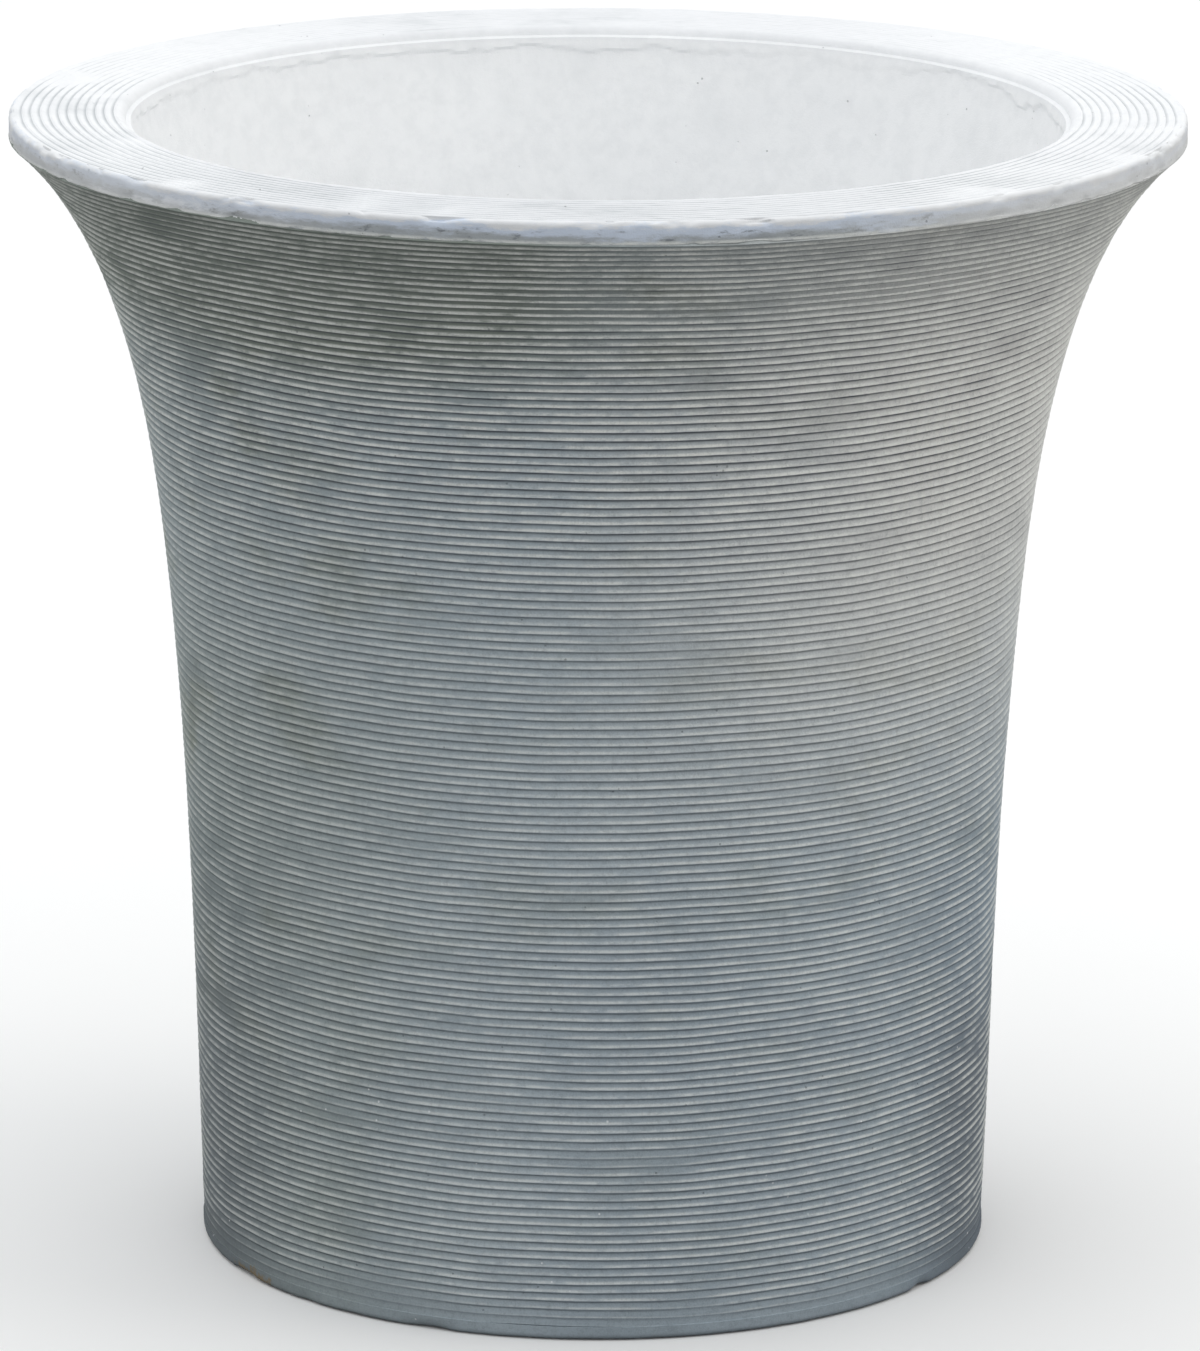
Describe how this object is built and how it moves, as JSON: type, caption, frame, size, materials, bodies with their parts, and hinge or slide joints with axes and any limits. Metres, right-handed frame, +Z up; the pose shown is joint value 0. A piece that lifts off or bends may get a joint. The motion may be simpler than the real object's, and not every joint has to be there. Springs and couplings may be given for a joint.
{
  "type": "planter",
  "caption": "Round floor planter of ribbed concrete that flares to a wide flat rim, with a drained floor, a lift-out drain plug and lifting sockets.",
  "frame": {"origin": "centre of the foot ring, on the floor", "axes": "+Z up along the pot's axis, +Y away from the viewer, weep channels along X"},
  "size_m": [0.77, 0.77, 0.76],
  "materials": {
    "concrete": "cast cement, ribbed and weathered outside, smooth and pale inside",
    "cage_steel": "plain mild steel bar, lightly rusted",
    "socket_steel": "zinc plated",
    "sleeve_plastic": "plain grey drain plastic",
    "plug_rubber": "black moulded rubber"
  },
  "bodies": {
    "pot": {"cast_shell": "concrete", "upright_bar_1": "cage_steel", "upright_bar_2": "cage_steel", "upright_bar_3": "cage_steel", "upright_bar_4": "cage_steel", "upright_bar_5": "cage_steel", "upright_bar_6": "cage_steel", "upright_bar_7": "cage_steel", "upright_bar_8": "cage_steel", "upright_bar_9": "cage_steel", "wall_hoop_1": "cage_steel", "wall_hoop_2": "cage_steel", "wall_hoop_3": "cage_steel", "wall_hoop_4": "cage_steel", "wall_hoop_5": "cage_steel", "wall_hoop_6": "cage_steel", "rim_hoop": "cage_steel", "floor_hoop": "cage_steel", "lifting_socket_1": "socket_steel", "lifting_socket_2": "socket_steel", "lifting_socket_3": "socket_steel", "socket_pin_1": "cage_steel", "socket_pin_2": "cage_steel", "socket_pin_3": "cage_steel", "drain_sleeve": "sleeve_plastic"},
    "plug": {"drain_plug": "plug_rubber"}
  },
  "joints": [
    {"name": "plug_lift", "type": "slide", "parent": "pot", "child": "plug", "axis": [0, 0, 1], "range_m": [0, 0.73]}
  ]
}
